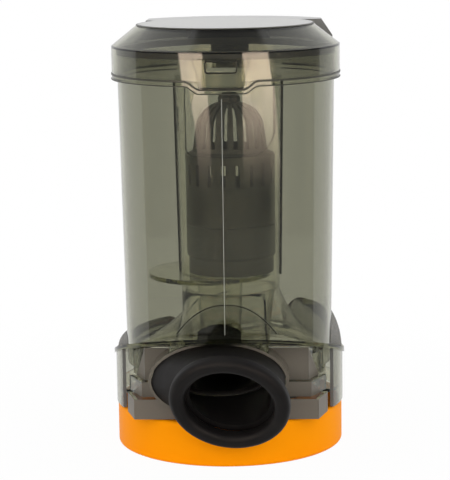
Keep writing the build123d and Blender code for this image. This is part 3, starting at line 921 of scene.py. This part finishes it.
@dataclass
class InletDome(Details):
    """Thin smoked hood over the duct's mouth, with a dark bead of painted shade along the edge of
    its arch.
    """

    arch_place: float = -45.0
    arch_middle: float = 0.3
    arch_half: float = 28.5
    arch_foot: float = 70.5
    arch_rise: float = 17.5
    arch_power: float = 2.3
    arch_share: float = 0.97
    reach: float = 10.5
    foot_reach: float = 1.5
    thick: float = 0.6
    steps: int = 49
    section_steps: int = 17
    edge_halves: Span = (0.45, 0.35)

    def surface(self, inset: float) -> np.ndarray:
        """Gives the hood's surface, from the arch forwards and down to the wall.

        Args:
            inset: how far the surface is drawn in.

        Returns:
            Points, shaped (steps, section steps, 3).
        """
        share = np.linspace(-self.arch_share, self.arch_share, self.steps)[:, None]
        turn = np.linspace(0, np.pi / 2, self.section_steps)
        rise = self.arch_rise * (1 - np.abs(share) ** self.arch_power)
        reach = self.foot_reach + self.reach * (1 - share ** 2)
        return np.stack(np.broadcast_arrays(
            self.arch_middle + self.arch_half * share,
            self.arch_place - (reach - inset) * np.sin(turn),
            self.arch_foot + (rise - inset) * np.cos(turn)), axis=-1)

    def build(self) -> None:
        """Builds the hood and the bead of painted shade along its edge."""
        outer, inner = self.surface(0.0), self.surface(self.thick)
        rings = np.concatenate([outer, inner[:, ::-1]], axis=1)
        self.place(loft("inlet_dome", rings), Finish.DOME, Body.BIN)
        path = outer[:, 0]
        outward = around(np.zeros(len(path)))
        edge = bead("inlet_dome_edge", path, outward, self.edge_halves)
        self.place(edge, Finish.EDGE, Body.BIN)


@dataclass
class WallLines(Details):
    """Weld ridge of the wall, in a pale finish that paints its highlight, and ribs along the
    tube's sides, in a dark finish that paints the shade of the tube's sides.
    """

    seam_levels: Span = (74.0, 205.0)
    seam_reaches: Span = (-0.3, 0.42)
    seam_half: float = 0.11
    tube_middle: float = 1.2
    rib_levels: Span = (97.0, 209.0)
    rib_reaches: Span = (0.05, 1.05)
    rib_half: float = 0.5
    rib_angles: Span = (-87.7, 92.3)

    def bar(self, name: str, taper: Taper, middle: float, angle: float, levels: Span,
            reaches: Span, half: float) -> bpy.types.Object:
        """Runs a straight bar up a tapered wall.

        Args:
            name: name of the bar.
            taper: wall that the bar follows.
            middle: X of the wall's axis.
            angle: angle of the bar round that axis.
            levels: Z of the bar's ends.
            reaches: where the bar starts and ends, outwards from the wall.
            half: half of the bar's width.

        Returns:
            The new object.
        """
        outward = around(np.radians(angle))
        aside = np.array([-outward[1], outward[0], 0.0])
        reach = np.array([*reaches, *reaches[::-1]])[:, None]
        across = np.array([-half, -half, half, half])[:, None]
        level = np.array(levels)[:, None, None]
        rings = ((taper.at(level) + reach) * outward + across * aside
                 + level * [0, 0, 1] + [middle, 0, 0])
        return loft(name, rings)

    def build(self) -> None:
        """Builds the seam and the two ribs."""
        seam = self.bar("wall_weld_ridge_painted_highlight", WALL_TAPER, 0.0, 0.0, self.seam_levels,
                        self.seam_reaches, self.seam_half)
        # Painted highlight: the ridge's pale colour shows the bright line down the wall's front.
        self.place(seam, Finish.WELD, Body.BIN)
        for name, angle in zip(("tube_rib_left", "tube_rib_right"), self.rib_angles):
            rib = self.bar(name, TUBE_TAPER, self.tube_middle, angle, self.rib_levels,
                           self.rib_reaches, self.rib_half)
            # Painted shade: the ribs are dark where the tube's sides look dark.
            self.place(rib, Finish.EDGE, Body.BIN)


@dataclass
class FrostedSkins(Details):
    """Eroded, frosted faces of the thick clear pieces: shoulders, skirt ends, hood and cowl."""

    lift: float = 0.06
    thick: float = 0.12
    sink: float = 0.02
    facing: float = 0.5
    wall_margin: float = 0.25
    shoulder_levels: Span = (52.75, 76.0)
    shoulder_front: float = 1.0
    skirt_radii: Span = (63.8, 66.2)
    skirt_top: float = 52.0
    skirt_half_angle: float = 66.0
    angle_margin: float = 0.6
    hood_front: float = 25.5
    hood_margin: float = 0.4
    cowl_back: float = -38.0

    def faces(self, node: str) -> tuple[np.ndarray, np.ndarray]:
        """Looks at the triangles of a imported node.

        Args:
            node: name of the node.

        Returns:
            Middle and normal of each triangle, both shaped (3, triangles).
        """
        corners, triangles, normals = triangles_of(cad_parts[node].data)
        return corners[triangles].mean(axis=1).T, normals.T

    def skin(self, name: str, node: str, body: Body, chosen: np.ndarray, finish: Finish) -> None:
        """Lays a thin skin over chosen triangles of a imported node, inside the bin's box.

        Args:
            name: name of the skin.
            node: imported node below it.
            body: body that both ride on.
            chosen: whether each triangle is covered.
            finish: finish of the skin.
        """
        corners, triangles, normals = triangles_of(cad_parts[node].data)
        kept, faces = np.unique(triangles[chosen], return_inverse=True)
        faces = faces.reshape(-1, 3)
        lean = np.zeros((len(kept), 3))
        np.add.at(lean, faces.ravel(), np.repeat(normals[chosen], 3, axis=0))
        lean /= np.maximum(np.linalg.norm(lean, axis=1, keepdims=True), TINY)
        low, high = (np.array(corner) / MM for corner in CAD_BOX)
        margin = self.thick + self.sink
        points = np.clip(corners[kept] + lean * self.lift, low + margin, high - margin)
        mesh = bpy.data.meshes.new(name)
        mesh.from_pydata(points * MM, [], faces.tolist())
        piece = new_object(name, mesh)
        shell = piece.modifiers.new("shell", "SOLIDIFY")
        shell.thickness = self.thick * MM
        shell.offset = 1.0
        LOG.info("%s covers %d triangles of %s", name, chosen.sum(), node)
        self.place(piece, finish, body)

    def cover_body(self) -> None:
        """Covers the shoulders and the skirt's ends."""
        (x, y, z), normal = self.faces("bin_body")
        radius = np.hypot(x, y)
        low, high = self.shoulder_levels
        shoulder = ((radius > WALL_TAPER.at(z) + self.wall_margin) & (z > low) & (z < high)
                    & (y > self.shoulder_front))
        self.skin("shoulder_skin", "bin_body", Body.BIN, shoulder, Finish.FROST)
        angle = np.degrees(np.abs(np.arctan2(x, -y)))
        inner, outer = self.skirt_radii
        ends = ((radius > inner) & (radius < outer) & (z < self.skirt_top)
                & (np.abs(angle - self.skirt_half_angle) < self.angle_margin)
                & (normal[1] < -self.facing))
        self.skin("skirt_end_skin", "bin_body", Body.BIN, ends, Finish.END)

    def cover_hood(self) -> None:
        """Covers what stands out of the lid's cone at the back."""
        (x, y, z), _ = self.faces("lid")
        cone = np.minimum(LID_TAPER.radius, LID_TAPER.at(z))
        hood = (y > self.hood_front) & (np.hypot(x, y) > cone + self.hood_margin)
        self.skin("hood_end_skin", "lid", Body.LID, hood, Finish.END)

    def cover_cowl(self) -> None:
        """Covers the cowl's front and its sides."""
        (x, y, _), normal = self.faces("inlet_cowl")
        outward = (normal[1] < -self.facing) | (normal[0] * np.sign(x) > self.facing)
        cowl = outward & (y < self.cowl_back)
        self.skin("cowl_skin", "inlet_cowl", Body.BIN, cowl, Finish.COWL)

    def build(self) -> None:
        """Builds the skins."""
        self.cover_body()
        self.cover_hood()
        self.cover_cowl()


class BoxSide(NamedTuple):
    """Side of a soft box: its azimuth at the boxes' middle and its shift per degree of rise."""

    azimuth: float
    lean: float


@dataclass
class Studio:
    """Pale floor, white surroundings, lamps, soft boxes and the camera of the photograph.

    The edges in the surroundings are depths, from -1 straight in front of the bin to 1 straight
    behind it. The soft boxes are drawn in degrees of azimuth and of rise, as the bin sees them.
    """

    lens: float = 148.3
    sensor: float = 36.0
    camera_distance: float = 1128.3
    camera_height: float = 312.0
    camera_azimuth: float = 2.3
    camera_pitch: float = 9.8
    camera_roll: float = 0.78
    axis_pixel: float = 228.0
    wall_crossings: int = 32
    floor_radius: float = 700.0
    floor_sides: int = 96
    floor_fade: Span = (100.0, 420.0)
    floor_shares: Span = (0.96, 1.0)
    floor_colour: str = "F4F4F2"
    white: str = "FFFFFF"
    lamp_distance: float = 1200.0
    lamp_width: float = 520.0
    lamp_height: float = 1000.0
    lamp_azimuths: Span = (-30.0, 34.0)
    lamp_power: float = 3.5
    world_level: float = 0.85
    mirror_levels: Span = (0.25, 0.84)
    mirror_edge: Span = (0.23, 0.27)
    back_lean: float = -0.1
    behind_edge: Span = (0.15, 0.45)
    behind_levels: Span = (0.3, 1.0)
    ahead_edge: Span = (-0.3, -0.6)
    ahead_levels: Span = (0.3, 0.75)
    left_box: tuple[BoxSide, BoxSide] = (BoxSide(-46.5, -3.5), BoxSide(-21.3, -1.3))
    right_box: tuple[BoxSide, BoxSide] = (BoxSide(18.7, -0.2), BoxSide(44.1, -3.4))
    box_soft: float = 1.2
    box_middle: float = -4.0
    box_lean_span: Span = (-9.0, -2.0)
    box_foot: Span = (-10.2, -6.3)
    box_head: Span = (8.0, 14.0)
    box_level: float = 6.5
    box_colour: str = "FFE7D0"

    def stand(self, azimuth: float, distance: float, height: float) -> Vector:
        """Gives a place round the bin.

        Args:
            azimuth: angle round the bin's axis.
            distance: distance from that axis.
            height: height above the floor.

        Returns:
            The place in metres.
        """
        angle = math.radians(azimuth)
        return Vector((math.sin(angle) * distance, -math.cos(angle) * distance, height)) * MM

    def camera(self) -> None:
        """Places the camera as it stood for the photograph."""
        data = bpy.data.cameras.new("camera")
        data.lens = self.lens
        data.sensor_width = self.sensor
        camera = new_object("camera", data)
        camera.location = self.stand(
            self.camera_azimuth, self.camera_distance, self.camera_height)
        focal = self.lens / self.sensor * PHOTO_HEIGHT
        aside = math.atan((self.axis_pixel - PHOTO_WIDTH / 2) / focal)
        yaw = math.radians(self.camera_azimuth) + aside
        turn = Euler((math.radians(90 - self.camera_pitch), 0, yaw), "XYZ").to_matrix()
        roll = Matrix.Rotation(math.radians(-self.camera_roll), 3, "Z")
        camera.rotation_euler = (turn @ roll).to_euler()
        bpy.context.scene.camera = camera

    def lamps(self) -> None:
        """Hangs the two lamps in front of the bin, left and right of the camera.

        Gloss and clear plastic show the soft boxes of the surroundings in their place.
        """
        for number, azimuth in enumerate(self.lamp_azimuths):
            data = bpy.data.lights.new(f"lamp_{number}", "AREA")
            data.shape = "RECTANGLE"
            data.size = self.lamp_width * MM
            data.size_y = self.lamp_height * MM
            data.energy = self.lamp_power
            lamp = new_object(f"lamp_{number}", data)
            lamp.visible_glossy = False
            lamp.visible_transmission = False
            lamp.location = self.stand(azimuth, self.lamp_distance, self.lamp_height / 2)
            lamp.rotation_euler = (math.radians(90), 0, math.radians(azimuth))

    def soft_boxes(self, tree: Tree, direction: Socket) -> Socket:
        """Draws the two soft boxes on the surroundings.

        Args:
            tree: node tree of the world.
            direction: direction that is looked in.

        Returns:
            Share of soft box in that direction, 0 to 1.
        """
        axes = add_node(tree, "SeparateXYZ", {"Vector": direction}).outputs
        ahead = combine(tree, "MULTIPLY", axes["Y"], -1.0)
        azimuth = combine(tree, "ARCTAN2", axes["X"], ahead)
        rise = combine(tree, "ARCSINE", axes["Z"])
        rising, falling = (0.0, 1.0), (1.0, 0.0)
        soft = (math.radians(-self.box_soft), math.radians(self.box_soft))
        lean_span = tuple(math.radians(level) for level in self.box_lean_span)
        boxes = []
        for box in (self.left_box, self.right_box):
            sides = []
            for side, levels in zip(box, (rising, falling)):
                azimuths = tuple(
                    math.radians(side.azimuth + side.lean * (level - self.box_middle))
                    for level in self.box_lean_span)
                place = spread(tree, rise, lean_span, azimuths)
                beyond = combine(tree, "SUBTRACT", azimuth, place)
                sides.append(spread(tree, beyond, soft, levels, smooth=True))
            boxes.append(combine(tree, "MULTIPLY", *sides))
        foot, head = (
            spread(tree, rise, tuple(math.radians(level) for level in span), levels, smooth=True)
            for span, levels in ((self.box_foot, rising), (self.box_head, falling)))
        height = combine(tree, "MULTIPLY", foot, head)
        return combine(tree, "MULTIPLY", combine(tree, "ADD", *boxes), height)

    def world(self) -> None:
        """Surrounds the bin with white.

        Gloss mirrors a grey front and the soft boxes, and clear plastic is looked through at grey
        sides.
        """
        world = bpy.data.worlds.new("studio")
        world.use_nodes = True
        tree = world.node_tree
        tree.nodes.clear()
        ray = add_node(tree, "LightPath").outputs
        direction = add_node(tree, "TexCoord").outputs["Generated"]
        depth = add_node(tree, "VectorMath", {0: direction, 1: (self.back_lean, 1.0, 0.0)},
                         operation="DOT_PRODUCT").outputs["Value"]
        box_light = [light * self.box_level for light in linear(self.box_colour)[:3]]
        box = add_node(tree, "VectorMath", {
            0: box_light, "Scale": self.soft_boxes(tree, direction)},
            operation="SCALE").outputs["Vector"]
        mirrored = spread(tree, depth, self.mirror_edge, self.mirror_levels, smooth=True)
        behind = spread(tree, depth, self.behind_edge, self.behind_levels, smooth=True)
        ahead = spread(tree, depth, self.ahead_edge, self.ahead_levels, smooth=True)
        seen_through = combine(tree, "MAXIMUM", behind, ahead)
        level = (*[self.world_level] * 3, 1.0)
        for kind, plain in (("Is Glossy Ray", mirrored), ("Is Transmission Ray", seen_through)):
            lit = add_node(tree, "VectorMath", {0: plain, 1: box}, operation="ADD")
            level = choose(tree, ray[kind], level, lit.outputs["Vector"])
        level = choose(tree, ray["Is Camera Ray"], level, linear(self.white))
        background = add_node(tree, "Background", {"Color": level, "Strength": 1.0})
        add_node(tree, "OutputWorld", {"Surface": background.outputs["Background"]})
        bpy.context.scene.world = world

    def floor_material(self) -> bpy.types.Material:
        """Makes the pale floor, which fades to the white around it.

        Returns:
            The floor's material.
        """
        material, tree, place = new_material("pale_floor")
        reach = add_node(tree, "VectorMath", {0: place}, operation="LENGTH").outputs["Value"]
        span = tuple(radius * MM for radius in self.floor_fade)
        fade = spread(tree, reach, span, self.floor_shares, smooth=True)
        ray = add_node(tree, "LightPath").outputs
        seen = combine(tree, "MAXIMUM", ray["Is Camera Ray"], ray["Is Transmission Ray"])
        seen = combine(tree, "MAXIMUM", seen, ray["Is Glossy Ray"])
        matte = add_node(tree, "BsdfDiffuse", {"Color": linear(self.floor_colour)})
        white = add_node(tree, "Emission", {"Color": linear(self.white), "Strength": 1.0})
        mix = add_node(tree, "MixShader", {
            0: combine(tree, "MULTIPLY", fade, seen),
            1: matte.outputs["BSDF"], 2: white.outputs["Emission"]})
        add_node(tree, "OutputMaterial", {"Surface": mix.outputs["Shader"]})
        return material

    def floor(self) -> None:
        """Lays the floor as a round disc."""
        angle = np.linspace(0, 2 * np.pi, self.floor_sides, endpoint=False)
        points = np.stack([np.cos(angle), np.sin(angle), np.zeros_like(angle)], axis=1)
        mesh = bpy.data.meshes.new("floor")
        mesh.from_pydata(
            points * self.floor_radius * MM, [], [np.arange(self.floor_sides).tolist()])
        mesh.materials.append(self.floor_material())
        floor = new_object("floor", mesh)
        floor.visible_glossy = False

    def build(self) -> None:
        """Builds the whole studio."""
        scene = bpy.context.scene
        scene.view_settings.view_transform = "Standard"
        scene.cycles.max_bounces = self.wall_crossings
        scene.cycles.transmission_bounces = self.wall_crossings
        self.camera()
        self.lamps()
        self.world()
        self.floor()


def main() -> None:
    """Dresses the bin, adds its fine pieces and builds its studio."""
    logging.basicConfig(level=logging.INFO, format="%(message)s")
    paint = Paint()
    BinDress().dress(paint)
    for details in (RimLines, LidLines, InletLining, InletDome, WallLines, FrostedSkins):
        details(paint).build()
    Studio().build()


if __name__ == "__main__":
    main()
